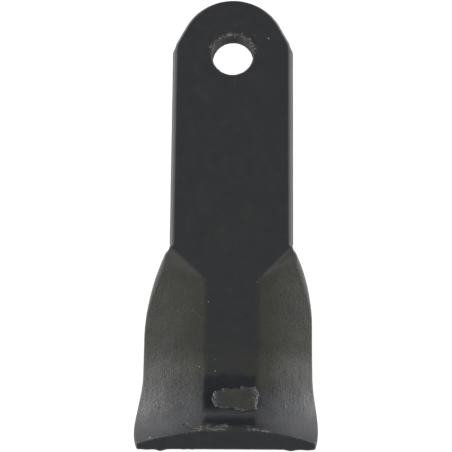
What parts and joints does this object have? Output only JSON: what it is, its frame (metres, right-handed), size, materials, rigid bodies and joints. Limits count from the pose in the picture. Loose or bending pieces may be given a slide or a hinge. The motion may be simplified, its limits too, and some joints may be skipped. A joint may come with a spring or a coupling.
{
  "type": "mulcher blade",
  "caption": "Forged scoop-ended flail blade for a mulcher: a flat bar with a pivot bore at the rounded eye end and thin wings bent forward at the cutting end.",
  "frame": {"origin": "on the pivot bore's axis, at the flat back face that the blade lies on", "axes": "+Z along the bore, out of the front face; +Y towards the rounded eye end, so the scoop is at -Y and rises towards +Z; X across the blade"},
  "size_m": [0.0703, 0.1871, 0.0277],
  "materials": {
    "black_painted_steel": "thin semi-gloss black paint over forged scale"
  },
  "bodies": {
    "root": {"mulcher_blade": "black_painted_steel"}
  },
  "joints": []
}
